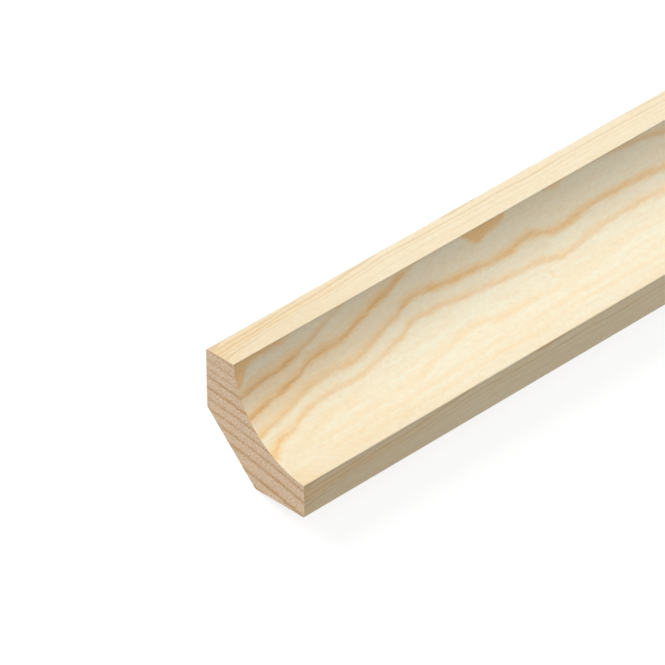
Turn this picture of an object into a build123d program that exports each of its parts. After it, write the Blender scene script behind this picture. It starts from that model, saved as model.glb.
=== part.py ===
from build123d import *
import math
import os

# A length of pine scotia moulding, in millimetres.
# In use it stands in the corner of a floor and a wall, with the cove facing the room.
# Here it lies by itself on its back bevel, with the cove upwards, its length along X
# and the middle of its underside at the origin.

# Driving dimensions
length = 2400.0      # one stock length
blank_side = 21.0    # side of the planed square blank
land_width = 6.0     # flat left on each show face, beside the cove
cove_depth = 3.9     # deepest point of the cove below the line joining the two lands
bevel_leg = 10.3     # cut off each way from the back corner, so that it clears the corner of a room
arris_radius = 0.25  # planed long edges, eased by sanding

# The cove is one arc, through the inner edge of each land and the deepest point.
cove_half_chord = (blank_side - land_width) / math.sqrt(2)
cove_radius = (cove_half_chord**2 + cove_depth**2) / (2 * cove_depth)
chord_middle = (blank_side + land_width) / 2
cove_centre = chord_middle + (cove_radius - cove_depth) / math.sqrt(2)

# The section's own axes lie along its floor face and its wall face, each at 45 degrees to the bevel.
section_plane = Plane(
    origin=(0, 0, -bevel_leg / math.sqrt(2)),
    x_dir=(0, -1, 1),
    z_dir=(-1, 0, 0),
)

with BuildPart() as scotia_moulding:
    with BuildSketch(section_plane) as section:
        Rectangle(blank_side, blank_side, align=(Align.MIN, Align.MIN))
        back_corner = section.vertices().sort_by_distance((0, 0, 0))[0]
        chamfer(back_corner, bevel_leg)
        with Locations((cove_centre, cove_centre)):
            Circle(cove_radius, mode=Mode.SUBTRACT)
        fillet(section.vertices(), arris_radius)
    extrude(amount=length / 2, both=True)

scotia_moulding.part.label = "scotia_moulding"

os.makedirs("parts", exist_ok=True)
export_step(scotia_moulding.part, "parts/scotia_moulding.step")
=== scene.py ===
"""Looks of one length of pine scotia moulding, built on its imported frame.

Metres throughout, in the part's own frame: X runs along the length, Y across the cove and Z up.
The end at the lowest X is the near end, which the camera sees. The wood's figure is in millimetres.
"""

from __future__ import annotations

import logging
import math
from dataclasses import dataclass, field
from enum import Enum
from typing import Union

import bpy
import numpy as np
from mathutils import Matrix, Vector

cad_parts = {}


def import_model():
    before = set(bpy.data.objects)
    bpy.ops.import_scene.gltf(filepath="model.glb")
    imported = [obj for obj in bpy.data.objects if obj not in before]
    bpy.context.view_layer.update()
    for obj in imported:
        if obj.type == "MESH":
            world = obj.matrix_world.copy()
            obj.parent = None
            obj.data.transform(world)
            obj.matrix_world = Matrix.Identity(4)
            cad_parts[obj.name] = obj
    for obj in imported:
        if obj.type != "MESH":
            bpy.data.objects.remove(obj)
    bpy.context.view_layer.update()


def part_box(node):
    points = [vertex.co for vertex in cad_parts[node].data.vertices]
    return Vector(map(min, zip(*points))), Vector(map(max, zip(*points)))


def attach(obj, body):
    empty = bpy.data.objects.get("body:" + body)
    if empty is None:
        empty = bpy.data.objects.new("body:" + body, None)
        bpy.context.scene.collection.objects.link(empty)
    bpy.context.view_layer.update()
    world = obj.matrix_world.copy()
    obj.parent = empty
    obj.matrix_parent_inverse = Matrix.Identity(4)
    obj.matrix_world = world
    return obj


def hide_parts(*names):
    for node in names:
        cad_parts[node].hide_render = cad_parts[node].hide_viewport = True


LOG = logging.getLogger("scotia")
PIECE = "pine_moulding"
NODE = "scotia_moulding"
BODY = "root"
GRAIN_MAP = "grain"
BAKE_MAP = "OFBake"
MM = 0.001
ROOT2 = math.sqrt(2.0)

# Places in metres that agree to this many decimals are one point.
WELD_DIGITS = 9

# The Mix node's colour sockets, by place, because it has others of the same names.
MIX_FIRST = 6
MIX_SECOND = 7
MIX_RESULT = 2

Colour = tuple[float, float, float]
Line = tuple[tuple[float, float], ...]
Span = tuple[float, float]


def tone(red: int, green: int, blue: int) -> Colour:
    """Turn a colour as seen on a screen into linear light, by the sRGB formula.

    Args:
        red: 0 to 255, and so the others.
        green: Green share.
        blue: Blue share.

    Returns:
        The three linear shares, 0 to 1.
    """
    shares = np.array([red, green, blue]) / 255.0
    linear = np.where(shares <= 0.04045, shares / 12.92, ((shares + 0.055) / 1.055) ** 2.4)
    return tuple(float(share) for share in linear)


class Region(Enum):
    """A long face of the moulding, by how its growth rings are laid out."""

    TOP_LAND = "top_land"
    COVE = "cove"
    FRONT_LAND = "front_land"
    BACK = "back"


class GrainSlot(Enum):
    """A material slot of the moulding's mesh, in order."""

    LONG_GRAIN = 0
    END_GRAIN = 1


class RingLine(Enum):
    """A growth line, by its number down the cove from the middle one."""

    TOPMOST = -2
    ABOVE = -1
    MIDDLE = 0
    BELOW = 1
    SECOND_BELOW = 2


@dataclass(frozen=True)
class Section:
    """The moulding's section, with the sizes it was cut to.

    Across is the distance from the middle plane, |Y|. The section is the same on both sides of it.
    """

    blank_side: float = 21.0 * MM
    land_width: float = 6.0 * MM
    cove_depth: float = 3.9 * MM
    bevel_leg: float = 10.3 * MM
    arris: float = 0.25 * MM

    @property
    def half_chord(self) -> float:
        """Half the straight distance between the two land edges."""
        return (self.blank_side - self.land_width) / ROOT2

    @property
    def cove_radius(self) -> float:
        """Radius of the arc through both land edges and the cove's deepest point."""
        return (self.half_chord**2 + self.cove_depth**2) / (2.0 * self.cove_depth)

    @property
    def cove_centre(self) -> float:
        """Height of the cove arc's centre, which is over the middle."""
        chord_height = (self.blank_side + self.land_width - self.bevel_leg) / ROOT2
        return chord_height + self.cove_radius - self.cove_depth

    @property
    def cove_turn(self) -> float:
        """Half the angle of the cove's arc, from its middle to the corner it would make with a land."""
        return math.asin(self.half_chord / self.cove_radius)

    @property
    def cove_arc(self) -> float:
        """Length of the cove's arc from one land's corner to the other's."""
        return 2.0 * self.cove_radius * self.cove_turn

    @property
    def land_line(self) -> float:
        """Across plus height, which is the same all over a land."""
        return ROOT2 * self.blank_side - self.bevel_leg / ROOT2

    @property
    def back_line(self) -> float:
        """Across minus height, which is the same all over a floor or wall face."""
        return self.bevel_leg / ROOT2

    @property
    def nose(self) -> tuple[float, float]:
        """Across and height of the arris between a land and the face behind it: its arc's centre."""
        across = (self.land_line + self.back_line) / 2.0 - self.arris * ROOT2
        return across, (self.land_line - self.back_line) / 2.0

    @property
    def lip(self) -> tuple[float, float]:
        """Across and height of the arris between the cove and a land: its arc's centre.

        It lies one arris radius under the land and one arris radius outside the cove's circle.
        """
        inner_line = self.land_line - self.arris * ROOT2
        offset = inner_line - self.cove_centre
        reach = self.cove_radius + self.arris
        across = (offset + math.sqrt(2.0 * reach**2 - offset**2)) / 2.0
        return across, inner_line - across

    @property
    def heel(self) -> float:
        """Across of the arris between the bevel and the face beside it: its arc's centre."""
        return self.back_line - self.arris * (ROOT2 - 1.0)

    @property
    def cove_edge(self) -> float:
        """Across of the line where the cove's arc runs into the lip's arris."""
        return self.lip[0] * self.cove_radius / (self.cove_radius + self.arris)

    def columns(self, cove_steps: int, land_steps: int, arris_steps: int) -> np.ndarray:
        """Place the lines that run the length of the moulding, from one nose to the other.

        Arcs are divided evenly by angle and lands by width, then mirrored in the middle plane.

        Args:
            cove_steps: Divisions of half the cove.
            land_steps: Divisions of a land.
            arris_steps: Divisions of an arris.

        Returns:
            Y of each line, from the highest to the lowest.
        """
        lip_across, lip_height = self.lip
        nose_across = self.nose[0]
        half_right = math.pi / 4.0
        lip_start = math.atan2(-lip_across, self.cove_centre - lip_height)
        edge_turn = math.asin(self.cove_edge / self.cove_radius)
        land_start = lip_across + self.arris / ROOT2
        half = np.concatenate(
            [
                self.cove_radius * np.sin(np.linspace(0.0, edge_turn, cove_steps + 1)),
                lip_across + self.arris * np.sin(np.linspace(lip_start, half_right, 2 * arris_steps + 1)),
                land_start + (nose_across - lip_across) * np.linspace(0.0, 1.0, land_steps + 1),
                nose_across + self.arris * np.sin(np.linspace(half_right, math.pi / 2.0, arris_steps + 1)),
                self.heel + self.arris * np.sin(np.linspace(0.0, half_right, arris_steps + 1)),
            ]
        )
        half = np.unique(half.round(WELD_DIGITS))
        return np.concatenate([half[::-1], -half[1:]])

    def arris_rise(self, across: np.ndarray, centre: float) -> np.ndarray:
        """Height of an arris over its centre: the root of its radius squared less the offset squared."""
        return np.sqrt(np.maximum(self.arris**2 - (across - centre) ** 2, 0.0))

    def upper(self, y: np.ndarray) -> np.ndarray:
        """Height of the show side: cove arc, lip arris, land, then nose arris, by distance across.

        Args:
            y: Y of the places.

        Returns:
            Z of the places.
        """
        across = np.abs(y)
        lip_across, lip_height = self.lip
        nose_across, nose_height = self.nose
        on_cove = self.cove_centre - np.sqrt(np.maximum(self.cove_radius**2 - across**2, 0.0))
        on_lip = lip_height + self.arris_rise(across, lip_across)
        on_nose = nose_height + self.arris_rise(across, nose_across)
        pieces = [
            across <= self.cove_edge,
            across <= lip_across + self.arris / ROOT2,
            across <= nose_across + self.arris / ROOT2,
        ]
        return np.select(pieces, [on_cove, on_lip, self.land_line - across], on_nose)

    def lower(self, y: np.ndarray) -> np.ndarray:
        """Height of the hidden side: bevel, heel arris, floor or wall face, then nose arris.

        Args:
            y: Y of the places.

        Returns:
            Z of the places.
        """
        across = np.abs(y)
        nose_across, nose_height = self.nose
        on_heel = self.arris - self.arris_rise(across, self.heel)
        on_nose = nose_height - self.arris_rise(across, nose_across)
        pieces = [
            across <= self.heel,
            across <= self.heel + self.arris / ROOT2,
            across <= nose_across + self.arris / ROOT2,
        ]
        return np.select(pieces, [np.zeros_like(across), on_heel, across - self.back_line], on_nose)

    def out_and_up(self, y: np.ndarray, z: np.ndarray) -> tuple[np.ndarray, np.ndarray]:
        """Give places in the section as they lie when it is fitted: a turn by half a right angle.

        Args:
            y: Y of the places.
            z: Z of the places.

        Returns:
            Distances out from the wall and up from the floor.
        """
        out = (z - y) / ROOT2 + self.bevel_leg / 2.0
        up = (z + y) / ROOT2 + self.bevel_leg / 2.0
        return out, up

    def along_cove(self, y: np.ndarray) -> np.ndarray:
        """Distance along the cove's arc from its top corner, by Y: radius times the angle passed."""
        return self.cove_radius * (self.cove_turn - np.arcsin(np.clip(y / self.cove_radius, -1.0, 1.0)))


@dataclass(frozen=True)
class RingLayout:
    """How the growth rings lie across the section.

    Depth into the tree is the height up the section plus a drop that grows with the distance out:
    depth = up + lean * out + curl * out squared.
    """

    lean: float = 0.06
    curl: float = 4.7
    shallowest: float = 21.5 * MM
    spread: float = 0.81
    widening: float = 47.0

    def depth(self, out: np.ndarray, up: np.ndarray) -> np.ndarray:
        """Depth into the tree of places in the section."""
        return up + self.lean * out + self.curl * out**2

    def drop(self, out: np.ndarray, up: np.ndarray) -> np.ndarray:
        """Distance down the cove at which the same ring shows: spread * fall + widening * fall squared."""
        fall = self.shallowest - self.depth(out, up)
        return self.spread * fall + self.widening * fall**2


@dataclass
class Mesh:
    """Arrays of a mesh under construction: corners are given face by face."""

    places: np.ndarray
    corners: np.ndarray
    face_starts: np.ndarray
    slots: np.ndarray
    maps: dict[str, np.ndarray]

    def to_object(self, name: str, materials: list[bpy.types.Material]) -> bpy.types.Object:
        """Write the arrays into a new object at the origin.

        Args:
            name: The object's name.
            materials: One for each slot number.

        Returns:
            The object, linked to the scene.
        """
        data = bpy.data.meshes.new(name)
        data.vertices.add(len(self.places))
        data.vertices.foreach_set("co", self.places.astype(np.float32).ravel())
        data.loops.add(len(self.corners))
        data.loops.foreach_set("vertex_index", self.corners.astype(np.int32))
        data.polygons.add(len(self.face_starts))
        data.polygons.foreach_set("loop_start", self.face_starts.astype(np.int32))
        data.polygons.foreach_set("material_index", self.slots.astype(np.int32))
        for map_name, values in self.maps.items():
            layer = data.uv_layers.new(name=map_name)
            layer.uv.foreach_set("vector", values.astype(np.float32).ravel())
        data.update(calc_edges=True)
        data.shade_smooth()
        self.mark_ends(data)
        for material in materials:
            data.materials.append(material)
        if data.validate(verbose=False):
            raise ValueError(f"the mesh of {name} had faults")
        made = bpy.data.objects.new(name, data)
        bpy.context.scene.collection.objects.link(made)
        return made

    def mark_ends(self, data: bpy.types.Mesh) -> None:
        """Keep the sawn ends flat and their edges sharp.

        Args:
            data: The mesh, with its edges worked out.
        """
        on_end = self.slots == GrainSlot.END_GRAIN.value
        flat = data.attributes.new("sharp_face", "BOOLEAN", "FACE")
        flat.data.foreach_set("value", on_end)
        end_points = np.zeros(len(self.places), dtype=bool)
        end_points[self.corners[self.face_starts[on_end].min() :]] = True
        pairs = np.empty(2 * len(data.edges), dtype=np.int32)
        data.edges.foreach_get("vertices", pairs)
        sharp = data.attributes.new("sharp_edge", "BOOLEAN", "EDGE")
        sharp.data.foreach_set("value", end_points[pairs].reshape(-1, 2).all(axis=1))


@dataclass(frozen=True)
class Skin:
    """The stick's points and faces: a ring of points round the section at each station, and two caps.

    A face is given by its corners, which are point numbers. Those of the long faces are an array of
    stations by points by four. Each cap's stand in one row, in which both caps' faces start alike.
    """

    stations: np.ndarray
    ring_y: np.ndarray
    ring_z: np.ndarray
    shown: int
    places: np.ndarray
    sides: np.ndarray
    caps: tuple[np.ndarray, np.ndarray]
    cap_starts: np.ndarray

    @property
    def corners(self) -> np.ndarray:
        """All corners in a row, the long faces' first."""
        return np.concatenate([self.sides.ravel(), *self.caps])


@dataclass
class Moulding:
    """The moulding's stick: the section carried along the length, with a cap on each end."""

    start: float
    end: float
    section: Section = field(default_factory=Section)
    rings: RingLayout = field(default_factory=RingLayout)
    cove_steps: int = 24
    land_steps: int = 14
    arris_steps: int = 3
    strips: int = 6
    stations_per_strip: int = 10
    strip_share: float = 0.94
    strip_margin: float = 0.004
    first_cap: float = 0.25
    cap_step: float = 0.5

    def build(self, materials: list[bpy.types.Material]) -> bpy.types.Object:
        """Make the stick's object.

        Args:
            materials: Long grain and end grain, in the order of GrainSlot.

        Returns:
            The finished object.
        """
        skin = self.skin()
        side_count = skin.sides.size // 4
        near_start = skin.sides.size
        far_start = near_start + len(skin.caps[0])
        starts = np.concatenate(
            [np.arange(side_count) * 4, near_start + skin.cap_starts, far_start + skin.cap_starts]
        )
        slots = np.full(len(starts), GrainSlot.END_GRAIN.value)
        slots[:side_count] = GrainSlot.LONG_GRAIN.value
        maps = {GRAIN_MAP: self.grain_map(skin), BAKE_MAP: self.bake_map(skin)}
        return Mesh(skin.places, skin.corners, starts, slots, maps).to_object(PIECE, materials)

    def skin(self) -> Skin:
        """Carry the section's outline along the length, by way of the show side and back underneath.

        Returns:
            The stick's points and faces.
        """
        y = self.section.columns(self.cove_steps, self.land_steps, self.arris_steps)
        stations = np.linspace(self.start, self.end, self.strips * self.stations_per_strip + 1)
        ring_y = np.concatenate([y, y[-2:0:-1]])
        ring_z = np.concatenate([self.section.upper(y), self.section.lower(y)[-2:0:-1]])
        around = len(ring_y)
        count = len(stations)
        columns = [np.repeat(stations, around), np.tile(ring_y, count), np.tile(ring_z, count)]
        tips, slices = self.cap_faces(len(y), around)
        near = np.concatenate([tips.ravel(), slices.ravel()])
        far = np.concatenate([tips[:, ::-1].ravel(), slices[:, ::-1].ravel()])
        return Skin(
            stations=stations,
            ring_y=ring_y,
            ring_z=ring_z,
            shown=len(y),
            places=np.stack(columns, axis=1),
            sides=self.side_corners(count, around),
            caps=(near, far + (count - 1) * around),
            cap_starts=np.concatenate([3 * np.arange(len(tips)), tips.size + 4 * np.arange(len(slices))]),
        )

    @staticmethod
    def side_corners(station_count: int, around: int) -> np.ndarray:
        """Join each station's ring of points to the next with quads that face outwards.

        Args:
            station_count: Rings along the length.
            around: Points in a ring.

        Returns:
            Point numbers, as stations by points by four corners.
        """
        row = np.arange(station_count - 1)[:, None] * around
        here = np.arange(around)[None, :]
        after = (here + 1) % around
        return np.stack([row + here, row + after, row + around + after, row + around + here], axis=2)

    @staticmethod
    def cap_faces(column_count: int, around: int) -> tuple[np.ndarray, np.ndarray]:
        """Close the near end with upright slices between the show side and the hidden side.

        Each slice is a quad between two neighbouring columns, and the two at the noses are triangles.
        The far end has the same slices with their corners in the opposite order.

        Args:
            column_count: Lines along the length on the show side.
            around: Points in a ring.

        Returns:
            Point numbers of the triangles and of the quads, a face to a row.
        """
        top = np.arange(column_count)
        bottom = (around - top) % around
        bottom[-1] = top[-1]
        quads = np.stack([top[1:-2], bottom[1:-2], bottom[2:-1], top[2:-1]], axis=1)
        tips = np.array([[top[0], bottom[1], top[1]], [top[-2], bottom[-2], top[-1]]])
        return tips, quads

    def regions(self, skin: Skin) -> np.ndarray:
        """Name the region of each stretch of the ring, from one point to the next.

        Args:
            skin: The stick's points and faces.

        Returns:
            One Region for each stretch.
        """
        middle = (skin.ring_y + np.roll(skin.ring_y, -1)) / 2.0
        lip = self.section.lip[0]
        shown = np.arange(len(middle)) < skin.shown - 1
        found = np.full(len(middle), Region.BACK, dtype=object)
        found[shown & (middle > lip)] = Region.TOP_LAND
        found[shown & (np.abs(middle) <= lip)] = Region.COVE
        found[shown & (middle < -lip)] = Region.FRONT_LAND
        return found

    def figure_place(self, region: Region, y: np.ndarray, z: np.ndarray) -> np.ndarray:
        """Distance down the cove at which the same figure shows as at a place on a long face.

        On the cove that is the distance along its arc. A land shows the cove's whole figure drawn
        together to its own width. A hidden face shows the rings that come out there.

        Args:
            region: The face.
            y: Y of the places.
            z: Z of the places.

        Returns:
            The distance for each place.
        """
        out, up = self.section.out_and_up(y, z)
        arc = self.section.cove_arc
        if region is Region.TOP_LAND:
            return arc * np.clip(out / self.section.land_width, 0.0, 1.0)
        if region is Region.FRONT_LAND:
            return arc * np.clip(1.0 - up / self.section.land_width, 0.0, 1.0)
        if region is Region.COVE:
            return np.clip(self.section.along_cove(y), 0.0, arc)
        return self.rings.drop(out, up)

    def grain_map(self, skin: Skin) -> np.ndarray:
        """Give each corner its distance from the near end and its place in the figure, in metres.

        The second is the distance down the cove on the long faces, and the depth into the tree on the ends.

        Args:
            skin: The stick's points and faces.

        Returns:
            Two numbers for each corner.
        """
        found = self.regions(skin)
        next_y = np.roll(skin.ring_y, -1)
        next_z = np.roll(skin.ring_z, -1)
        begin = np.zeros(len(found))
        finish = np.zeros(len(found))
        for region in Region:
            mine = found == region
            begin[mine] = self.figure_place(region, skin.ring_y[mine], skin.ring_z[mine])
            finish[mine] = self.figure_place(region, next_y[mine], next_z[mine])
        down = np.broadcast_to(np.stack([begin, finish, finish, begin], axis=1), skin.sides.shape)
        x, y, z = skin.places[skin.corners].T
        values = np.stack([x - self.start, self.rings.depth(*self.section.out_and_up(y, z))], axis=1)
        values[: skin.sides.size, 1] = down.ravel()
        return values

    def bake_map(self, skin: Skin) -> np.ndarray:
        """Lay the faces out flat on a square: the length in strips, one above the other, then the caps.

        Args:
            skin: The stick's points and faces.

        Returns:
            Two numbers for each corner, 0 to 1.
        """
        step = np.hypot(np.roll(skin.ring_y, -1) - skin.ring_y, np.roll(skin.ring_z, -1) - skin.ring_z)
        reached = np.cumsum(step) / step.sum()
        begin = np.concatenate([[0.0], reached[:-1]])
        around = np.broadcast_to(np.stack([begin, reached, reached, begin], axis=1), skin.sides.shape)
        height = self.strip_share / self.strips
        strip = (np.arange(len(skin.stations) - 1) // self.stations_per_strip)[:, None, None]
        along = (skin.places[skin.sides, 0] - self.start) / (self.end - self.start) * self.strips - strip
        margin = self.strip_margin
        side_u = margin + along * (1.0 - 2.0 * margin)
        side_v = strip * height + margin + around * (height - 2.0 * margin)
        laid = [np.stack([side_u, side_v], axis=3).reshape(-1, 2)]
        scale = (1.0 - self.strip_share - 2.0 * margin) / skin.ring_z.max()
        for index, corners in enumerate(skin.caps):
            cap_u = self.first_cap + self.cap_step * index + skin.places[corners, 1] * scale
            cap_v = self.strip_share + margin + skin.places[corners, 2] * scale
            laid.append(np.stack([cap_u, cap_v], axis=1))
        return np.concatenate(laid)


class Signal:
    """A value in a shader tree, with arithmetic that adds Math nodes."""

    def __init__(self, tree: bpy.types.NodeTree, socket: bpy.types.NodeSocket) -> None:
        """Hold one output socket of a tree."""
        self.tree = tree
        self.socket = socket

    def math(self, operation: str, *operands: Operand) -> Signal:
        """Add one Math node.

        Args:
            operation: The node's operation.
            operands: What it works on, in order.

        Returns:
            The node's value.
        """
        node = self.tree.nodes.new("ShaderNodeMath")
        node.operation = operation
        for socket, operand in zip(node.inputs, operands):
            feed(operand, socket)
        return Signal(self.tree, node.outputs[0])

    def __add__(self, other: Operand) -> Signal:
        """Sum."""
        return self.math("ADD", self, other)

    def __radd__(self, other: float) -> Signal:
        """Sum, with the number first."""
        return self.math("ADD", other, self)

    def __sub__(self, other: Operand) -> Signal:
        """Difference."""
        return self.math("SUBTRACT", self, other)

    def __rsub__(self, other: float) -> Signal:
        """Difference, with the number first."""
        return self.math("SUBTRACT", other, self)

    def __mul__(self, other: Operand) -> Signal:
        """Product."""
        return self.math("MULTIPLY", self, other)

    def __rmul__(self, other: float) -> Signal:
        """Product, with the number first."""
        return self.math("MULTIPLY", other, self)

    def __truediv__(self, other: Operand) -> Signal:
        """Quotient."""
        return self.math("DIVIDE", self, other)

    def size(self) -> Signal:
        """The value without its sign."""
        return self.math("ABSOLUTE", self)

    def fraction(self) -> Signal:
        """What is left above the whole number below."""
        return self.math("FRACT", self)

    def floor(self) -> Signal:
        """The whole number below."""
        return self.math("FLOOR", self)

    def larger(self, other: Operand) -> Signal:
        """The larger of two values."""
        return self.math("MAXIMUM", self, other)

    def smaller(self, other: Operand) -> Signal:
        """The smaller of two values."""
        return self.math("MINIMUM", self, other)

    def above(self, other: Operand) -> Signal:
        """1 where this is the larger of two values, and 0 elsewhere."""
        return self.math("GREATER_THAN", self, other)

    def towards(self, other: Operand, share: Signal) -> Signal:
        """Go over to another value by a share of 0 to 1."""
        return self + (other - self) * share

    def ramp(self, low: float, high: float) -> Signal:
        """Rise smoothly from 0 at low to 1 at high, or fall if low is the higher one.

        Args:
            low: Where the result is 0.
            high: Where the result is 1.

        Returns:
            0 to 1.
        """
        node = self.tree.nodes.new("ShaderNodeMapRange")
        node.interpolation_type = "SMOOTHSTEP"
        rising = high > low
        feed(self, node.inputs["Value"])
        node.inputs["From Min"].default_value = min(low, high)
        node.inputs["From Max"].default_value = max(low, high)
        node.inputs["To Min"].default_value = 0.0 if rising else 1.0
        node.inputs["To Max"].default_value = 1.0 if rising else 0.0
        return Signal(self.tree, node.outputs["Result"])


Operand = Union[Signal, float]
ColourOperand = Union[Signal, Colour]


def feed(value: Operand, socket: bpy.types.NodeSocket) -> None:
    """Give an input socket a number or a link.

    Args:
        value: The number, or the value to link.
        socket: The input.
    """
    if isinstance(value, Signal):
        value.tree.links.new(value.socket, socket)
    else:
        socket.default_value = value


def vector(x: Signal, y: Operand, z: Operand) -> Signal:
    """Combine three values.

    Args:
        x: The first, which says in which tree.
        y: The second.
        z: The third.

    Returns:
        The vector.
    """
    node = x.tree.nodes.new("ShaderNodeCombineXYZ")
    for socket, value in zip(node.inputs, (x, y, z)):
        feed(value, socket)
    return Signal(x.tree, node.outputs[0])


def parts(whole: Signal) -> tuple[Signal, Signal, Signal]:
    """Separate a vector.

    Args:
        whole: The vector.

    Returns:
        Its three values.
    """
    node = whole.tree.nodes.new("ShaderNodeSeparateXYZ")
    feed(whole, node.inputs[0])
    return tuple(Signal(whole.tree, output) for output in node.outputs)


def follow(at: Signal, line: Line, smooth: bool = True) -> Signal:
    """Read a value off a line drawn through set points.

    Args:
        at: Place along the line.
        line: The points, as place and value, from the first place to the last.
        smooth: Whether the line is a curve, and not straight from point to point.

    Returns:
        The value, which stays level before the first point and after the last.
    """
    places, values = (np.array(column) for column in zip(*line))
    start, span = float(places[0]), float(places[-1] - places[0])
    low, rise = float(values.min()), float(values.max() - values.min())
    node = at.tree.nodes.new("ShaderNodeFloatCurve")
    node.mapping.extend = "HORIZONTAL"
    points = node.mapping.curves[0].points
    points[0].location = (0.0, (values[0] - low) / rise)
    points[1].location = (1.0, (values[-1] - low) / rise)
    for place, value in zip(places[1:-1], values[1:-1]):
        points.new((place - start) / span, (value - low) / rise)
    for point in points:
        point.handle_type = "AUTO_CLAMPED" if smooth else "VECTOR"
    node.mapping.update()
    feed((at - start) / span, node.inputs["Value"])
    return Signal(at.tree, node.outputs["Value"]) * rise + low


def blend(share: Signal, first: ColourOperand, second: ColourOperand, way: str = "MIX") -> Signal:
    """Mix two colours.

    Args:
        share: 0 gives the first colour, 1 the second.
        first: A colour or a link.
        second: A colour or a link.
        way: How the second is laid over the first.

    Returns:
        The mixed colour.
    """
    node = share.tree.nodes.new("ShaderNodeMix")
    node.data_type = "RGBA"
    node.blend_type = way
    node.clamp_factor = way == "MIX"
    feed(share, node.inputs[0])
    for place, colour in ((MIX_FIRST, first), (MIX_SECOND, second)):
        if isinstance(colour, Signal):
            feed(colour, node.inputs[place])
        else:
            node.inputs[place].default_value = (*colour, 1.0)
    return Signal(share.tree, node.outputs[MIX_RESULT])


@dataclass(frozen=True)
class Stretch:
    """An amount that comes in over one span of a value and may go out again over a second."""

    amount: float
    coming: Span
    going: Span | None = None

    def over(self, value: Signal) -> Signal:
        """Find the amount at a value, by smooth steps over the spans.

        Args:
            value: What the spans are measured on.

        Returns:
            0 to the amount.
        """
        shown = value.ramp(*self.coming)
        if self.going:
            shown = shown * value.ramp(*self.going)
        return shown * self.amount


@dataclass(frozen=True)
class Figure:
    """A smooth random field in the wood: noise of about -1 to 1, times the swing, plus the level.

    Its lumps have a size in each of three directions, in millimetres. A field over a surface has no third
    direction, and is one layer of the noise. Detail adds finer lumps, each with a share of the last one's
    strength, which is the roughness.
    """

    long: float
    wide: float
    high: float = 1.0
    layer: float = 0.0
    detail: float = 2.0
    roughness: float = 0.5
    swing: float = 1.0
    level: float = 0.0

    def draw(self, along: Signal, across: Operand, height: Operand = 0.0) -> Signal:
        """Add the field to a tree.

        Args:
            along: Place in the direction of the long size.
            across: Place in that of the wide size.
            height: Place in that of the high size.

        Returns:
            The field at that place.
        """
        node = along.tree.nodes.new("ShaderNodeTexNoise")
        node.noise_dimensions = "3D"
        place = vector(along / self.long, across / self.wide, height / self.high + self.layer)
        feed(place, node.inputs["Vector"])
        node.inputs["Scale"].default_value = 1.0
        node.inputs["Detail"].default_value = self.detail
        node.inputs["Roughness"].default_value = self.roughness
        spread = Signal(along.tree, node.outputs["Fac"]) * 2.0 - 1.0
        return spread * self.swing + self.level


class Group:
    """A shader node group under construction, with named inputs and outputs."""

    def __init__(self, name: str, inputs: list[str], outputs: list[str]) -> None:
        """Make the group and its sockets, all of them plain values.

        Args:
            name: The group's name.
            inputs: Names of what goes in.
            outputs: Names of what comes out.
        """
        self.tree = bpy.data.node_groups.new(name, "ShaderNodeTree")
        for way, labels in (("INPUT", inputs), ("OUTPUT", outputs)):
            for label in labels:
                self.tree.interface.new_socket(label, in_out=way, socket_type="NodeSocketFloat")
        self.entry = self.tree.nodes.new("NodeGroupInput")
        self.exit = self.tree.nodes.new("NodeGroupOutput")

    def input(self, label: str) -> Signal:
        """One of the group's inputs."""
        return Signal(self.tree, self.entry.outputs[label])

    def output(self, label: str, value: Signal) -> None:
        """Send a value out of the group."""
        feed(value, self.exit.inputs[label])

    def place(self, tree: bpy.types.NodeTree, **values: Operand) -> dict[str, Signal]:
        """Put the group into a material.

        Args:
            tree: The material's tree.
            values: What each input gets.

        Returns:
            Its outputs by name.
        """
        node = tree.nodes.new("ShaderNodeGroup")
        node.node_tree = self.tree
        for label, value in values.items():
            feed(value, node.inputs[label])
        return {output.name: Signal(tree, output) for output in node.outputs}


class RingProfile(Group):
    """The dark latewood of a growth ring, as a group that shades one ring.

    Latewood is 1 on the ring's line and 0 in the pale wood. It falls off smoothly, over the Before
    distance ahead of the line and the After distance past it: 3 share squared less 2 share cubed.
    """

    def __init__(self) -> None:
        """Make the group."""
        super().__init__("latewood", ["Past", "Before", "After"], ["Latewood"])
        past = self.input("Past")
        away = (past / self.input("After")).larger(0.0 - past / self.input("Before"))
        share = (1.0 - away).larger(0.0)
        self.output("Latewood", share * share * (3.0 - 2.0 * share))

    def shade(self, past: Signal, before: Operand, after: Operand) -> Signal:
        """The latewood at a distance past a line."""
        return self.place(past.tree, Past=past, Before=before, After=after)["Latewood"]


class FibreFigure(Group):
    """Fibres of the wood, as a group: fine streaks along the stick, which are specks on its ends.

    Streak, Cloud and Mottle are about -1 to 1, and Pore is 1 in a pore.
    """

    STREAK = Figure(30.0, 0.35, 0.35, detail=3.0, roughness=0.6)
    CLOUD = Figure(30.0, 1.6, 1.6)
    MOTTLE = Figure(0.9, 0.6, 0.6, roughness=0.6)
    PORE = Figure(6.0, 0.22, 0.22, detail=1.0)
    PORE_EDGE: Span = (0.46, 0.66)

    def __init__(self) -> None:
        """Make the group."""
        super().__init__("fibres", ["Along", "Across", "Height"], ["Streak", "Cloud", "Mottle", "Pore"])
        place = [self.input(label) for label in ("Along", "Across", "Height")]
        self.output("Streak", self.STREAK.draw(*place))
        self.output("Cloud", self.CLOUD.draw(*place))
        self.output("Mottle", self.MOTTLE.draw(*place))
        self.output("Pore", self.PORE.draw(*place).ramp(*self.PORE_EDGE))

    def show(self, x: Signal, y: Signal, z: Signal) -> dict[str, Signal]:
        """The fibres at a place in the wood, by name."""
        return self.place(x.tree, Along=x, Across=y, Height=z)


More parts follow.
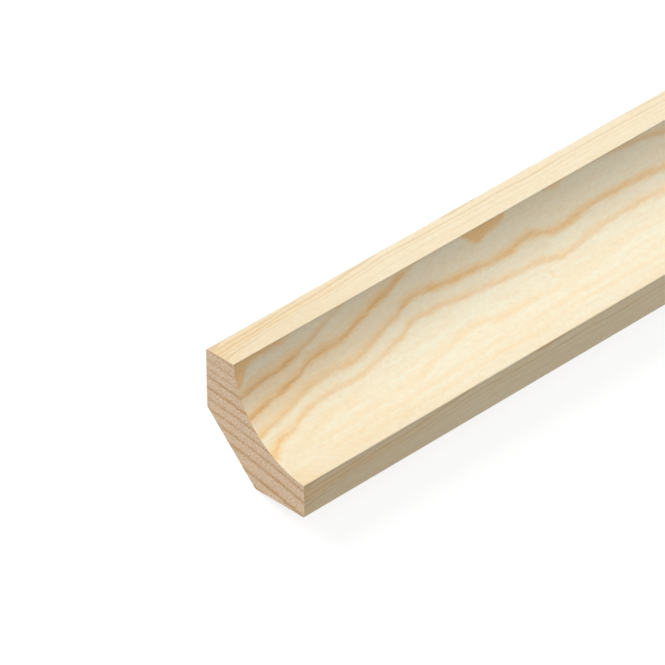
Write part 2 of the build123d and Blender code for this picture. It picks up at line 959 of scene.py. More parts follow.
@dataclass(frozen=True)
class RingPlace:
    """Where a place lies among the growth lines, as values in a shader tree, in millimetres.

    The count is 0 on the middle line and goes up by 1 from each line to the next one down, and the number
    is that of the nearest line. Inwards is the distance from the nearer end, and level the distance
    down the cove with a slow sway. Free is 0 to 1, for how far the lines wander by themselves. On the
    foot's uppermost line on_foot_top is 1. Each of the others is a distance below a line or an edge.
    """

    number: Signal
    count: Signal
    past_line: Signal
    past_last: Signal
    past_foot: Signal
    past_patch: Signal
    on_foot_top: Signal
    level: Signal
    inwards: Signal
    free: Signal

    def at_or_below(self, line: RingLine) -> Signal:
        """1 on a line and those below it, and 0 on those above."""
        return self.number.above(line.value - 0.5)

    def at_or_above(self, line: RingLine) -> Signal:
        """1 on a line and those above it, and 0 on those below."""
        return 1.0 - self.number.above(line.value + 0.5)


@dataclass(frozen=True)
class GrowthLines:
    """Growth rings as lines along the stick, in millimetres.

    The lines were followed along the end that shows, as distances from the end and down the cove.
    The line above the middle one lies one spacing from it, those above that another, and those below the
    middle a third. The last ones are faint and go by themselves: one, and three at the foot of the cove, of
    which the uppermost shows only near the end. Along its top edge the cove cuts a ring flatwise, which
    leaves brown patches. The same lines run in from both ends, and further in they wander by themselves.
    """

    stick: float
    middle: Line = (
        (0.0, 12.4), (3.5, 11.65), (6.0, 11.15), (10.0, 10.05), (14.0, 9.4), (18.0, 9.15), (21.0, 9.45),
        (24.0, 9.05), (27.0, 8.3), (30.0, 7.25), (33.0, 6.6), (35.0, 5.6), (38.0, 5.25), (41.0, 5.5),
        (45.0, 6.05), (50.0, 6.3), (55.0, 6.7), (58.0, 6.7), (61.5, 5.95), (65.0, 6.5), (68.5, 7.5),
        (72.0, 7.2), (76.0, 6.6),
    )
    above: Line = (
        (0.0, 3.15), (5.0, 3.1), (9.0, 2.68), (11.5, 2.68), (14.0, 3.45), (18.0, 3.6), (23.0, 4.1),
        (26.0, 4.4), (31.0, 4.3), (36.0, 4.4), (38.5, 5.3), (42.0, 6.6), (50.0, 7.4), (68.0, 8.5),
        (80.0, 7.0),
    )
    topmost: Line = (
        (0.0, 3.4), (5.0, 3.35), (10.0, 2.95), (12.0, 2.87), (14.0, 2.5), (16.0, 2.8), (18.0, 3.4),
        (20.0, 4.1), (22.0, 4.7), (26.0, 5.5), (80.0, 5.5),
    )
    below: Line = (
        (0.0, 3.8), (1.0, 3.4), (2.2, 2.85), (3.5, 2.6), (6.0, 2.8), (10.0, 2.5), (15.0, 2.6), (20.0, 2.75),
        (25.0, 2.5), (30.0, 3.15), (34.0, 3.2), (38.0, 3.4), (42.0, 3.0), (47.0, 3.25), (55.0, 3.3),
        (59.0, 3.7), (63.0, 4.5), (68.0, 4.0), (72.0, 3.6),
    )
    last: Line = (
        (0.0, 17.2), (6.0, 16.6), (10.0, 15.5), (18.0, 14.7), (22.0, 14.8), (27.0, 17.1), (33.0, 16.4),
        (36.0, 15.4), (42.0, 14.6), (46.0, 14.1), (51.0, 15.3), (58.0, 15.2), (64.0, 15.5), (80.0, 14.0),
    )
    foot: Line = (
        (0.0, 18.7), (8.0, 19.1), (15.0, 19.5), (18.0, 19.1), (25.0, 19.2), (30.0, 18.9), (38.0, 18.7),
        (43.0, 18.5), (47.0, 18.4), (52.0, 18.7), (58.0, 18.0), (68.0, 17.8),
    )
    patches: Line = (
        (0.0, 4.6), (1.0, 3.8), (2.0, 2.6), (2.9, 1.3), (4.5, 0.8), (9.0, 0.9), (11.5, 0.5), (13.5, -1.0),
        (17.0, -1.0), (20.0, 0.2), (22.0, 0.4), (25.0, -1.0), (47.0, -1.0), (49.2, 0.5), (51.2, 1.9),
        (52.8, 2.65), (54.2, 2.0), (57.0, 1.5), (58.5, 0.8), (60.0, -1.0), (65.0, -1.0), (67.5, 0.7),
        (70.2, 1.1), (71.5, 0.5), (73.0, -1.0),
    )
    foot_gap: float = 1.8
    ragged: Figure = Figure(2.4, 0.5, layer=1.9, detail=3.0, roughness=0.7, swing=0.72)
    sway: Figure = Figure(8.0, 4.0, layer=5.1, swing=0.3)

    # Further in the middle line drifts and the spacings spread, each on its own track of the noise.
    wandering: Span = (72.0, 115.0)
    drift: Figure = Figure(85.0, 1.0, swing=9.0, level=8.5)
    drift_track: float = 3.7
    spread: Figure = Figure(60.0, 1.0, detail=1.0, swing=3.0)
    spread_track: float = 9.1
    free_gap_above: float = 3.8
    free_gap_below: float = 3.1
    below_share: float = 0.5

    def find(self, along: Signal, down: Signal) -> RingPlace:
        """Find a place among the lines.

        The count of spacings from the middle line is rounded to the nearest line, and what is left over,
        times the spacing, is the distance past it.

        Args:
            along: Distance from the near end.
            down: Distance down the cove.

        Returns:
            Its distances from the lines.
        """
        inwards = along.smaller(self.stick - along)
        free = inwards.ramp(*self.wandering)
        drift = self.drift.draw(along, self.drift_track)
        spread = self.spread.draw(along, self.spread_track)
        free_above = self.free_gap_above + spread
        middle = follow(inwards, self.middle).towards(drift, free)
        above = follow(inwards, self.above).towards(free_above, free)
        topmost = follow(inwards, self.topmost).towards(free_above, free)
        below = follow(inwards, self.below).towards(self.free_gap_below + spread * self.below_share, free)
        level = down + self.sway.draw(along, down)
        ragged = level + self.ragged.draw(along, down)
        past = ragged - middle
        over = past + above
        high_up = 1.0 - over.above(0.0)
        gap = above.towards(below, past.above(0.0)).towards(topmost, high_up)
        count = (past / gap).towards(over / topmost - 1.0, high_up)
        number = (count + 0.5).floor()
        past_foot = ragged - follow(inwards, self.foot)
        foot_number = (past_foot / self.foot_gap + 0.5).floor().larger(-1.0).smaller(1.0)
        return RingPlace(
            number=number,
            count=count,
            past_line=(count - number) * gap,
            past_last=ragged - follow(inwards, self.last),
            past_foot=past_foot - foot_number * self.foot_gap,
            past_patch=ragged - follow(inwards, self.patches),
            on_foot_top=1.0 - foot_number.above(-0.5),
            level=level,
            inwards=inwards,
            free=free,
        )


@dataclass(frozen=True)
class LineStrength:
    """How dark each growth line is along the stick, 0 to 1, by millimetres from the end.

    Near the ends the middle line has its own strength along its length, and the two above it are dark,
    of which the upper one fades. The first below it is fainter, the second shows a little midway, and
    the rest not at all. Further in each line has a strength of its own.
    """

    middle: Line = (
        (0.0, 0.75), (12.0, 0.68), (26.0, 0.72), (33.0, 0.8), (36.0, 0.95), (44.0, 0.85), (60.0, 0.9),
        (76.0, 0.85),
    )
    top_fading: Line = ((0.0, 0.0), (11.0, 0.0), (14.0, 0.5), (19.0, 0.55), (24.0, 1.0), (80.0, 1.0))
    upper_easing: Stretch = Stretch(0.5, (34.0, 38.0))
    lower: float = 0.47
    lower_at_end: Stretch = Stretch(0.43, (13.0, 3.0))
    lower_midway: Stretch = Stretch(0.1, (27.0, 34.0), (54.0, 46.0))
    second_midway: Stretch = Stretch(0.13, (23.0, 28.0), (46.0, 41.0))

    # Each line has its own track of the noise, a step from the next one's.
    own: Figure = Figure(60.0, 1.0, layer=6.6, detail=1.0, swing=0.7, level=0.6)
    own_step: float = 3.7
    patchy: Figure = Figure(5.0, 1.0, layer=4.4, swing=0.45, level=1.0)
    patchy_step: float = 5.3

    def find(self, ring: RingPlace) -> Signal:
        """Say how dark the nearest line is.

        Args:
            ring: Where a place lies among the lines.

        Returns:
            0 to 1.
        """
        inwards = ring.inwards
        fading = ring.at_or_above(RingLine.TOPMOST) * follow(inwards, self.top_fading)
        upper = ring.at_or_below(RingLine.TOPMOST) * (1.0 - fading)
        upper = upper * (1.0 - self.upper_easing.over(inwards))
        drawn = upper.towards(follow(inwards, self.middle), ring.at_or_below(RingLine.MIDDLE))
        lower = self.lower + self.lower_at_end.over(inwards) + self.lower_midway.over(inwards)
        drawn = drawn.towards(lower, ring.at_or_below(RingLine.BELOW))
        second = self.second_midway.over(inwards) * ring.at_or_above(RingLine.SECOND_BELOW)
        drawn = drawn.towards(second, ring.at_or_below(RingLine.SECOND_BELOW))
        own = self.own.draw(inwards, ring.number * self.own_step)
        return drawn.towards(own, ring.free) * self.patchy.draw(inwards, ring.number * self.patchy_step)


@dataclass(frozen=True)
class BarePine:
    """Planed and sanded bare pine: what its long faces and its sawn ends have in common."""

    pore: Colour = tone(205, 165, 120)
    pore_share: float = 0.2
    specular: float = 0.2
    bump: float = 0.12
    bump_height: float = 0.1 * MM

    def start(self, name: str) -> tuple[bpy.types.Material, bpy.types.Node]:
        """Make an empty material.

        Args:
            name: The material's name.

        Returns:
            The material and its shader.
        """
        material = bpy.data.materials.new(name)
        material.use_nodes = True
        shader = material.node_tree.nodes["Principled BSDF"]
        shader.inputs["Specular IOR Level"].default_value = self.specular
        return material, shader

    @staticmethod
    def grain_place(tree: bpy.types.NodeTree) -> tuple[Signal, Signal]:
        """Read the piece's own grain map.

        Args:
            tree: The material's tree.

        Returns:
            Millimetres from the near end, and down the cove or into the tree.
        """
        node = tree.nodes.new("ShaderNodeUVMap")
        node.uv_map = GRAIN_MAP
        along, depth, _ = parts(Signal(tree, node.outputs["UV"]))
        return along / MM, depth / MM

    @staticmethod
    def solid_place(tree: bpy.types.NodeTree) -> tuple[Signal, Signal, Signal]:
        """Read the place in the wood.

        Args:
            tree: The material's tree.

        Returns:
            Millimetres along X, Y and Z.
        """
        node = tree.nodes.new("ShaderNodeTexCoord")
        x, y, z = parts(Signal(tree, node.outputs["Object"]))
        return x / MM, y / MM, z / MM

    def dress(self, shader: bpy.types.Node, wood: Signal, rough: Signal, height: Signal) -> None:
        """Give the shader its colour, its roughness and its relief.

        Args:
            shader: The material's shader.
            wood: Base colour.
            rough: Roughness.
            height: Height of the surface, as a share of the bump's own.
        """
        node = wood.tree.nodes.new("ShaderNodeBump")
        node.inputs["Strength"].default_value = self.bump
        node.inputs["Distance"].default_value = self.bump_height
        feed(height, node.inputs["Height"])
        feed(Signal(wood.tree, node.outputs["Normal"]), shader.inputs["Normal"])
        feed(wood, shader.inputs["Base Color"])
        feed(rough, shader.inputs["Roughness"])


@dataclass(frozen=True)
class LongPlace:
    """A place on a long face, as values in a shader tree, in millimetres.

    Along is from the near end, down is down the cove, and y is the place across it, which is positive on
    the wall side. On_land is 1 on a land, and off_land is 1 elsewhere.
    """

    along: Signal
    down: Signal
    y: Signal
    on_land: Signal
    off_land: Signal
    fibre: dict[str, Signal]
    ring: RingPlace


@dataclass(frozen=True)
class DarkMarks:
    """The dark marks on the long faces: growth lines, faint last lines, patches and a fleck.

    Spans are in millimetres from the end. A patch's edge is a span down the cove from the patches' line,
    and the fleck's goes by the squared distance from its middle, where its length along counts as 1. A band
    is the distances before and after a line.
    """

    strengths: LineStrength = LineStrength()
    least_width: float = 0.62
    width_by_strength: float = 0.45
    before: float = 1.5
    after: float = 1.25
    flare: Stretch = Stretch(0.9, (3.5, 0.5))
    upper_swell: Stretch = Stretch(0.4, (24.0, 29.0))
    middle_swell: Stretch = Stretch(0.4, (33.0, 36.0), (44.0, 39.0))
    blotch: Figure = Figure(2.0, 0.5, layer=8.8, detail=3.0, roughness=0.65)
    line_blotch: float = 0.5
    last_band: Span = (1.6, 1.0)
    last_strength: Line = (
        (0.0, 0.05), (6.0, 0.2), (10.0, 0.3), (18.0, 0.3), (22.0, 0.05), (27.0, 0.12), (34.0, 0.36),
        (48.0, 0.4), (60.0, 0.25), (80.0, 0.15),
    )
    foot_band: Span = (1.0, 0.8)
    foot_strength: float = 0.28
    foot_at_end: float = 0.35
    foot_inwards: Stretch = Stretch(0.65, (5.0, 13.0))
    foot_easing: Stretch = Stretch(0.35, (46.0, 52.0))
    foot_top_fading: Stretch = Stretch(1.0, (20.0, 26.0))
    patch_edge: Span = (0.7, -0.6)
    patch_level: float = 0.95
    patch_blotch: float = 0.35
    patch_strength: Line = (
        (0.0, 1.0), (10.0, 0.9), (15.0, 0.5), (26.0, 0.5), (48.0, 1.0), (60.0, 1.0), (65.0, 0.6),
        (80.0, 0.6),
    )
    fleck_inwards: float = 63.6
    fleck_down: float = 13.2
    fleck_length: float = 0.5
    fleck: Stretch = Stretch(0.45, (1.0, 0.0))
    crease_offset: float = 0.15
    crease_band: Span = (0.8, 0.5)
    crease_share: float = 0.1
    crease_at_end: Stretch = Stretch(0.16, (20.0, 8.0))

    def lines(self, ring: RingPlace, strength: Signal, rings: RingProfile) -> Signal:
        """Shade the growth lines, which are wider where they are stronger, flare at the end or swell.

        Args:
            ring: Where the place lies among the lines.
            strength: How dark the nearest line is.
            rings: The shading of a ring.

        Returns:
            The latewood of the nearest line, 0 to 1.
        """
        width = strength * self.width_by_strength + self.least_width
        flare = ring.at_or_below(RingLine.BELOW) * self.flare.over(ring.inwards)
        swell = ring.at_or_above(RingLine.ABOVE) * self.upper_swell.over(ring.inwards)
        swell = swell + ring.at_or_below(RingLine.MIDDLE) * self.middle_swell.over(ring.inwards)
        swell = swell * ring.at_or_above(RingLine.MIDDLE)
        before = width * (self.before + flare + swell)
        return rings.shade(ring.past_line, before, width * (self.after + flare))

    def faint_lines(self, ring: RingPlace, rings: RingProfile) -> Signal:
        """Shade the faint last lines, which are there only near the ends.

        Args:
            ring: Where the place lies among the lines.
            rings: The shading of a ring.

        Returns:
            The darker of the last line and the foot's lines.
        """
        inwards = ring.inwards
        last = rings.shade(ring.past_last, *self.last_band) * follow(inwards, self.last_strength)
        foot = rings.shade(ring.past_foot, *self.foot_band) * self.foot_strength
        foot = foot * (self.foot_at_end + self.foot_inwards.over(inwards))
        foot = foot * (1.0 - self.foot_easing.over(inwards))
        foot = foot * (1.0 - ring.on_foot_top * self.foot_top_fading.over(inwards))
        return last.larger(foot) * (1.0 - ring.free)

    def find(self, place: LongPlace, rings: RingProfile) -> Signal:
        """Find the darkest of the growth lines, the patches, the faint lines and the fleck.

        Args:
            place: The place on the face.
            rings: The shading of a ring.

        Returns:
            0 in the pale wood, and about 1 in the darkest.
        """
        ring = place.ring
        strength = self.strengths.find(ring)
        blotch = self.blotch.draw(place.along, place.down)
        late = self.lines(ring, strength, rings) * strength * (1.0 + blotch * self.line_blotch)
        patch = ring.past_patch.ramp(*self.patch_edge) * (self.patch_level + blotch * self.patch_blotch)
        patch = patch * follow(ring.inwards, self.patch_strength)
        from_fleck = (ring.inwards - self.fleck_inwards) / self.fleck_length
        below_fleck = place.down - self.fleck_down
        fleck = self.fleck.over(from_fleck * from_fleck + below_fleck * below_fleck) * place.off_land
        return late.larger(patch).larger(self.faint_lines(ring, rings)).larger(fleck)

    def creases(self, place: LongPlace, rings: RingProfile) -> Signal:
        """Find the thin brown crease along each of the darker lines of the cove.

        Args:
            place: The place on the face.
            rings: The shading of a ring.

        Returns:
            The share of the crease's colour.
        """
        ring = place.ring
        crease = rings.shade(ring.past_line - self.crease_offset, *self.crease_band)
        crease = crease * ring.at_or_below(RingLine.TOPMOST) * ring.at_or_above(RingLine.BELOW)
        at_end = self.crease_at_end.over(ring.inwards) * ring.at_or_above(RingLine.ABOVE)
        return crease * (self.crease_share + at_end) * place.off_land


@dataclass(frozen=True)
class GroundTint:
    """How deep the wood between the lines is tinted, 0 for cream and 1 for latewood.

    It is deeper near the end, most of all among the upper lines, towards each line, at the foot of the cove
    and on the lands, and it is streaked and clouded all over. Spans are in millimetres from the end or down
    the cove, but that of among goes by the count of growth lines, and that of nearing by their number.
    """

    least: float = 0.115
    end_reach: Span = (42.0, 4.0)
    at_end: float = 0.08
    among: Stretch = Stretch(0.21, (0.3, 0.0))
    pale_top: Stretch = Stretch(1.0, (9.0, 17.0))
    over_top: float = 0.05
    nearing: Stretch = Stretch(0.1, (1.6, 0.9))
    at_foot: Stretch = Stretch(0.08, (20.5, 22.3))
    at_corner: Stretch = Stretch(0.25, (18.5, 21.0))
    corner_reach: Span = (6.0, 1.0)
    on_land: float = 0.14
    land_end: Stretch = Stretch(0.11, (6.0, 0.0))
    flow: Figure = Figure(10.0, 0.7, layer=2.3, detail=3.0, roughness=0.6, swing=0.26)
    cloud: Figure = Figure(11.0, 2.6, layer=7.7, swing=0.14)
    streak: float = 0.14
    mottle: float = 0.16

    def find(self, place: LongPlace) -> Signal:
        """Add the tints up.

        Args:
            place: The place on the face.

        Returns:
            0 for cream, 1 for latewood.
        """
        ring = place.ring
        inwards = ring.inwards
        below_top = ring.at_or_below(RingLine.TOPMOST)
        pale = 1.0 - ring.at_or_above(RingLine.TOPMOST) * self.pale_top.over(inwards)
        among = self.among.over(ring.count) * below_top * pale
        at_end = self.at_end + among - self.over_top * (1.0 - below_top)
        phase = ring.count.fraction()
        deeper = phase * phase * self.nearing.over(ring.number) + self.at_foot.over(place.down)
        deeper = deeper + self.at_corner.over(place.down) * inwards.ramp(*self.corner_reach)
        in_land = place.on_land * (self.on_land + self.land_end.over(inwards))
        tint = inwards.ramp(*self.end_reach) * at_end
        tint = tint + deeper * place.off_land + in_land + self.least
        tint = tint + self.flow.draw(place.along, ring.level) + self.cloud.draw(place.along, ring.level)
        return tint + place.fibre["Streak"] * self.streak + place.fibre["Mottle"] * self.mottle


@dataclass(frozen=True)
class PaintedShade:
    """Painted shade in the wood's colour across the cove, on the front land and along the lips' edges, and
    darker towards the near end.

    Spans are in millimetres across the cove, positive on the wall side, and each reach is from the end.
    """

    # The painted shade's colour, multiplied into the wood by the share.
    colour: Colour = (0.93, 0.919, 0.923)
    # Painted shade on the wall side of the cove, which is its upper part, and less of it on the top land.
    wall_side: Span = (-0.3, 4.6)
    land_relief: float = 0.25
    wall_band: Stretch = Stretch(0.4, (3.0, 5.0), (8.0, 6.2))
    wall_band_reach: Span = (48.0, 38.0)
    # Painted shade down the cove's front side, towards its foot.
    front_side: Stretch = Stretch(0.5, (-2.5, -8.0))
    front_edge: Stretch = Stretch(0.35, (-7.0, -10.0))
    # Darker towards the near end, over this reach.
    end_reach: Span = (44.0, 9.0)
    at_end: float = 0.15
    wall_end: Stretch = Stretch(0.35, (-2.0, 2.5))
    land_end: float = 0.45
    # Painted shade on the front land, which also makes it a little browner.
    front_land: Span = (-10.3, -10.8)
    front_land_shade_colour: Colour = (0.93, 0.9, 0.86)
    # Thin painted shade lines along the lips, where the cove meets the lands.
    top_lip_painted_shade: Stretch = Stretch(1.0, (10.3, 10.46), (10.7, 10.58))
    front_lip_painted_shade: Stretch = Stretch(0.6, (-10.56, -10.7), (-10.98, -10.82))
    lip_shade_colour: Colour = (0.75, 0.73, 0.7)

    def share(self, place: LongPlace) -> Signal:
        """Add up the painted shade of the cove and the darkening towards the near end.

        Args:
            place: The place on the face.

        Returns:
            The shade's share, which passes 1 where shades meet.
        """
        y = place.y
        inwards = place.ring.inwards
        shaded = y.ramp(*self.wall_side) * (1.0 - place.on_land * self.land_relief)
        shaded = shaded + self.wall_band.over(y) * inwards.ramp(*self.wall_band_reach)
        shaded = shaded + (self.front_side.over(y) + self.front_edge.over(y)) * place.off_land
        at_end = (self.at_end + self.wall_end.over(y)).towards(self.land_end, place.on_land)
        return shaded + inwards.ramp(*self.end_reach) * at_end

    def lay(self, place: LongPlace, wood: Signal) -> Signal:
        """Lay the painted shades over the wood: the soft shade, the front land's shade and the dark lines
        along the lips.

        Args:
            place: The place on the face.
            wood: Its colour so far.

        Returns:
            Its shaded colour.
        """
        wood = blend(self.share(place), wood, self.colour, way="MULTIPLY")
        # Painted shade on the front land.
        wood = blend(place.y.ramp(*self.front_land), wood, self.front_land_shade_colour, way="MULTIPLY")
        # Thin painted shade lines along the lips.
        lines = self.top_lip_painted_shade.over(place.y) + self.front_lip_painted_shade.over(place.y)
        return blend(lines, wood, self.lip_shade_colour, way="MULTIPLY")


@dataclass(frozen=True)
class LongGrain(BarePine):
    """The wood of the long faces. The edge of a land is a span across the cove, in millimetres."""

    marks: DarkMarks = DarkMarks()
    ground: GroundTint = GroundTint()
    shade: PaintedShade = PaintedShade()
    land_edge: Span = (10.3, 10.8)
    cream: Colour = tone(253, 245, 219)
    latewood: Colour = tone(253, 217, 159)
    core: Colour = tone(250, 203, 140)
    core_from: float = 0.75
    core_gain: float = 1.8
    crease: Colour = tone(206, 146, 82)
    land_line: Colour = tone(230, 195, 140)
    land_line_share: float = 0.55
    worn_colour: Colour = (0.95, 0.94, 0.92)
    worn_streak: Stretch = Stretch(0.5, (0.0, 0.7))
    worn_mottle: float = 0.95
    worn_level: float = 0.1
    roughness: float = 0.6
    rough_streak: float = 0.05
    smooth_dark: float = 0.08
    relief_streak: float = 0.4
    relief_dark: float = 0.3

    def find(self, tree: bpy.types.NodeTree, lines: GrowthLines, fibres: FibreFigure) -> LongPlace:
        """Read where a place lies on the face.

        Args:
            tree: The material's tree.
            lines: Where the growth rings run.
            fibres: The fibres.

        Returns:
            The place.
        """
        along, down = self.grain_place(tree)
        x, y, z = self.solid_place(tree)
        on_land = y.size().ramp(*self.land_edge)
        return LongPlace(
            along=along,
            down=down,
            y=y,
            on_land=on_land,
            off_land=1.0 - on_land,
            fibre=fibres.show(x, y, z),
            ring=lines.find(along, down),
        )

    def build(self, lines: GrowthLines, rings: RingProfile, fibres: FibreFigure) -> bpy.types.Material:
        """Make the material.

        Args:
            lines: Where the growth rings run.
            rings: The shading of a ring.
            fibres: The fibres.

        Returns:
            The material.
        """
        material, shader = self.start("pine_long_grain")
        place = self.find(material.node_tree, lines, fibres)
        streak, mottle, pore = (place.fibre[label] for label in ("Streak", "Mottle", "Pore"))
        dark = self.marks.find(place, rings)
        in_cove = dark * place.off_land
        tint = self.ground.find(place).towards(1.0, in_cove.smaller(1.0))
        wood = blend(tint, self.cream, self.latewood)
        wood = blend((in_cove - self.core_from) * self.core_gain, wood, self.core)
        wood = blend(dark * place.on_land * self.land_line_share, wood, self.land_line)
        wood = blend(self.marks.creases(place, rings), wood, self.crease)
        worn = self.worn_streak.over(streak) + mottle * self.worn_mottle + self.worn_level
        wood = blend(worn, wood, self.worn_colour, way="MULTIPLY")
        wood = blend(pore * self.pore_share, wood, self.pore)
        # Painted shade, laid over the wood's colour.
        wood = self.shade.lay(place, wood)
        rough = self.roughness + streak * self.rough_streak - dark * self.smooth_dark
        height = streak * self.relief_streak + dark * self.relief_dark - pore
        self.dress(shader, wood, rough, height)
        return material


@dataclass(frozen=True)
class EndGrain(BarePine):
    """The wood of the sawn ends.

    Rings are counted by their depth into the tree, in millimetres, and their strengths go by the count.
    A band is the shares of a ring's spacing before and after its line.
    """

    wood: Colour = tone(237, 213, 185)
    ring: Colour = tone(204, 162, 114)
    grey: Colour = tone(209, 191, 169)
    rings_at: Line = (
        (0.0, 0.0), (1.3, 1.0), (3.25, 2.0), (6.1, 3.0), (8.2, 4.0), (10.05, 5.0), (11.9, 6.0),
        (13.95, 7.0), (16.1, 8.0), (17.5, 9.0), (19.15, 10.0), (24.0, 12.6),
    )
    strength: Line = (
        (0.0, 0.8), (2.0, 0.95), (3.0, 0.75), (4.0, 0.65), (5.0, 0.6), (6.0, 0.65), (7.0, 0.85), (8.0, 1.0),
        (8.6, 0.6), (9.0, 0.4), (10.0, 0.45),
    )
    line_band: Span = (0.2, 0.26)
    line_share: float = 0.8
    glow_band: Span = (0.2, 0.5)
    glow_share: float = 0.2
    wobble: Figure = Figure(1.0, 1.6, 1.6, detail=3.0, roughness=0.6, swing=0.22)
    patchy: Figure = Figure(1.0, 3.0, 3.0, swing=0.6, level=0.95)
    speck: Figure = Figure(1.0, 0.33, 0.33, detail=3.0, roughness=0.7)
    speck_share: float = 1.8
    cloud_share: float = 0.2
    least_dark: float = 0.26
    dull: Figure = Figure(1.0, 0.5, 0.5)
    dull_share: Stretch = Stretch(0.5, (0.0, 0.5))
    tinge: Figure = Figure(1.0, 2.4, 1.6)
    tinge_share: Stretch = Stretch(0.3, (-0.2, 0.5))
    roughness: float = 0.85
    rough_speck: float = 0.05
    relief_line: float = 0.3

    def build(self, rings: RingProfile, fibres: FibreFigure) -> bpy.types.Material:
        """Make the material.

        Args:
            rings: The shading of a ring.
            fibres: The fibres.

        Returns:
            The material.
        """
        material, shader = self.start("pine_end_grain")
        _, depth = self.grain_place(material.node_tree)
        place = self.solid_place(material.node_tree)
        fibre = fibres.show(*place)
        count = follow(depth + self.wobble.draw(*place), self.rings_at, smooth=False)
        past = (count + 0.5).fraction() - 0.5
        line = rings.shade(past, *self.line_band)
        glow = rings.shade(past, *self.glow_band)
        strength = follow(count, self.strength) * self.patchy.draw(*place)
        speck = self.speck.draw(*place)
        dark = (line * self.line_share + glow * self.glow_share) * strength + speck * self.speck_share
        dark = dark + fibre["Cloud"] * self.cloud_share + self.least_dark
        wood = blend(dark, self.wood, self.ring)
        dulled = self.dull_share.over(self.dull.draw(*place))
        tinged = self.tinge_share.over(self.tinge.draw(*place))
        wood = blend(dulled + tinged, wood, self.grey)
        wood = blend(fibre["Pore"] * self.pore_share, wood, self.pore)
        rough = self.roughness + speck * self.rough_speck
        self.dress(shader, wood, rough, speck + line * self.relief_line - fibre["Pore"])
        return material


@dataclass(frozen=True)
class Lamp:
    """A wide sun, by the way to it and the level that a facing white surface returns."""

    name: str
    way: tuple[float, float, float]
    level: float
    spread: float = 30.0

    def build(self) -> None:
        """Hang the lamp."""
        data = bpy.data.lights.new(self.name, "SUN")
        data.energy = self.level * math.pi
        data.angle = math.radians(self.spread)
        made = bpy.data.objects.new(self.name, data)
        made.rotation_mode = "QUATERNION"
        made.rotation_quaternion = Vector(self.way).to_track_quat("Z", "Y")
        bpy.context.scene.collection.objects.link(made)


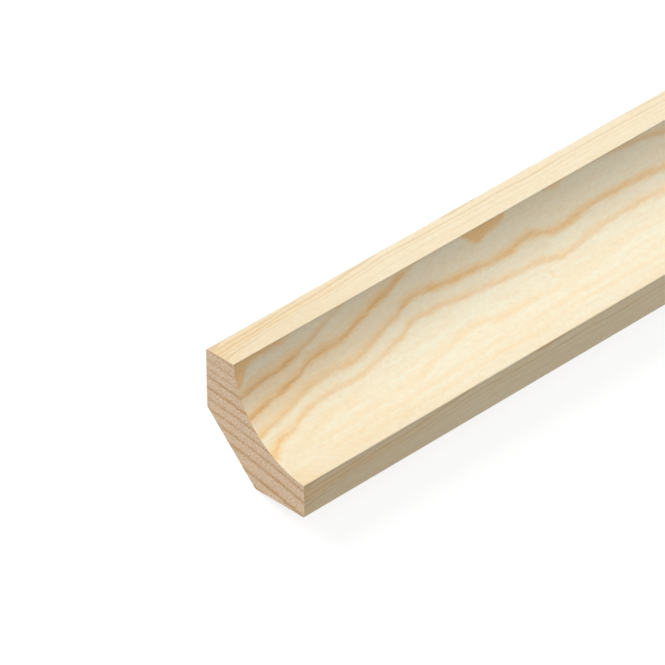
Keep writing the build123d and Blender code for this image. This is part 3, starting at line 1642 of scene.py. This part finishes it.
@dataclass(frozen=True)
class Studio:
    """Plain soft light over a pale floor.

    The key light comes over the wall side and the near end, and the fill from above the cove.
    """

    key: Lamp = Lamp("key_light", (-0.53, 0.65, 0.545), 0.745)
    fill: Lamp = Lamp("fill_light", (0.0, -0.087, 0.996), 0.41, spread=60.0)
    sky_level: float = 0.04
    floor_side: float = 60.0
    floor_colour: float = 0.3
    floor_glow: float = 0.8
    bounce_colour: float = 0.7

    def build(self) -> None:
        """Set up the lamps, the world and the floor."""
        self.key.build()
        self.fill.build()
        self.world()
        self.floor()

    @staticmethod
    def seen_directly(tree: bpy.types.NodeTree) -> Signal:
        """Tell rays that show a thing, also in gloss and through glass, from rays that carry its light.

        Args:
            tree: Where the node goes.

        Returns:
            1 for a ray that shows the thing.
        """
        path = tree.nodes.new("ShaderNodeLightPath")
        seen = Signal(tree, path.outputs["Is Camera Ray"])
        for label in ("Is Glossy Ray", "Is Transmission Ray"):
            seen = seen.larger(Signal(tree, path.outputs[label]))
        return seen

    def world(self) -> None:
        """Give an even sky that looks white and lights at its own level."""
        world = bpy.data.worlds.new("studio")
        bpy.context.scene.world = world
        world.use_nodes = True
        sky = world.node_tree.nodes["Background"]
        sky.inputs["Color"].default_value = (1.0, 1.0, 1.0, 1.0)
        level = self.sky_level + self.seen_directly(world.node_tree) * (1.0 - self.sky_level)
        feed(level, sky.inputs["Strength"])

    def floor(self) -> bpy.types.Object:
        """Lay the floor.

        Returns:
            The floor's object.
        """
        half = self.floor_side / 2.0
        corners = [(-half, -half, 0.0), (half, -half, 0.0), (half, half, 0.0), (-half, half, 0.0)]
        data = bpy.data.meshes.new("floor")
        data.from_pydata(corners, [], [(0, 1, 2, 3)])
        data.materials.append(self.floor_paper())
        made = bpy.data.objects.new("floor", data)
        bpy.context.scene.collection.objects.link(made)
        return made

    def floor_paper(self) -> bpy.types.Material:
        """Make the floor's paper, white to the eye with a soft shadow.

        Returns:
            The material.
        """
        material = bpy.data.materials.new("floor_paper")
        material.use_nodes = True
        tree = material.node_tree
        tree.nodes.remove(tree.nodes["Principled BSDF"])
        shown = tree.nodes.new("ShaderNodeBsdfDiffuse")
        shown.inputs["Color"].default_value = (self.floor_colour,) * 3 + (1.0,)
        glow = tree.nodes.new("ShaderNodeEmission")
        glow.inputs["Strength"].default_value = self.floor_glow
        both = tree.nodes.new("ShaderNodeAddShader")
        bounced = tree.nodes.new("ShaderNodeBsdfDiffuse")
        bounced.inputs["Color"].default_value = (self.bounce_colour,) * 3 + (1.0,)
        choice = tree.nodes.new("ShaderNodeMixShader")
        feed(self.seen_directly(tree), choice.inputs[0])
        tree.links.new(shown.outputs[0], both.inputs[0])
        tree.links.new(glow.outputs[0], both.inputs[1])
        tree.links.new(bounced.outputs[0], choice.inputs[1])
        tree.links.new(both.outputs[0], choice.inputs[2])
        tree.links.new(choice.outputs[0], tree.nodes["Material Output"].inputs["Surface"])
        return material


@dataclass(frozen=True)
class PhotoCamera:
    """The photographed view: a long lens over the near end, turned so that the stick stands as fitted.

    The aim is the point in the middle of the picture, level with the cove's lips.
    """

    aim_from_end: float = 18.818 * MM
    aim_across: float = 7.429 * MM
    aim_height: float = 11.809 * MM
    distance: float = 1094.29 * MM
    azimuth: float = 181.1145
    elevation: float = 55.0458
    roll: float = 58.9247
    lens: float = 387.487
    sensor: float = 36.0
    clip_end: float = 200.0

    def build(self, near_end: float) -> None:
        """Set up the scene's camera.

        Args:
            near_end: X of the near end.
        """
        azimuth = math.radians(self.azimuth)
        elevation = math.radians(self.elevation)
        reach = math.cos(elevation)
        back = Vector((reach * math.cos(azimuth), reach * math.sin(azimuth), math.sin(elevation)))
        level = Vector((0.0, 0.0, 1.0)).cross(back).normalized()
        turn = Matrix((level, back.cross(level), back)).transposed()
        turn = turn @ Matrix.Rotation(math.radians(self.roll), 3, "Z")
        aim = Vector((near_end + self.aim_from_end, self.aim_across, self.aim_height))
        data = bpy.data.cameras.new("photo_camera")
        data.lens = self.lens
        data.sensor_width = self.sensor
        data.clip_end = self.clip_end
        made = bpy.data.objects.new("photo_camera", data)
        made.matrix_world = Matrix.Translation(aim + back * self.distance) @ turn.to_4x4()
        bpy.context.scene.collection.objects.link(made)
        bpy.context.scene.camera = made


def main() -> None:
    """Build the moulding, its studio and its camera, and report each piece."""
    logging.basicConfig(level=logging.INFO, format="%(name)s: %(message)s")
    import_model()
    bpy.context.scene.view_settings.view_transform = "Standard"
    low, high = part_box(NODE)
    lines = GrowthLines((high.x - low.x) / MM)
    rings = RingProfile()
    fibres = FibreFigure()
    long_grain = LongGrain().build(lines, rings, fibres)
    end_grain = EndGrain().build(rings, fibres)
    stick = Moulding(low.x, high.x).build([long_grain, end_grain])
    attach(stick, BODY)
    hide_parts(NODE)
    LOG.info("%s: %d faces", stick.name, len(stick.data.polygons))
    Studio().build()
    PhotoCamera().build(low.x)


if __name__ == "__main__":
    main()
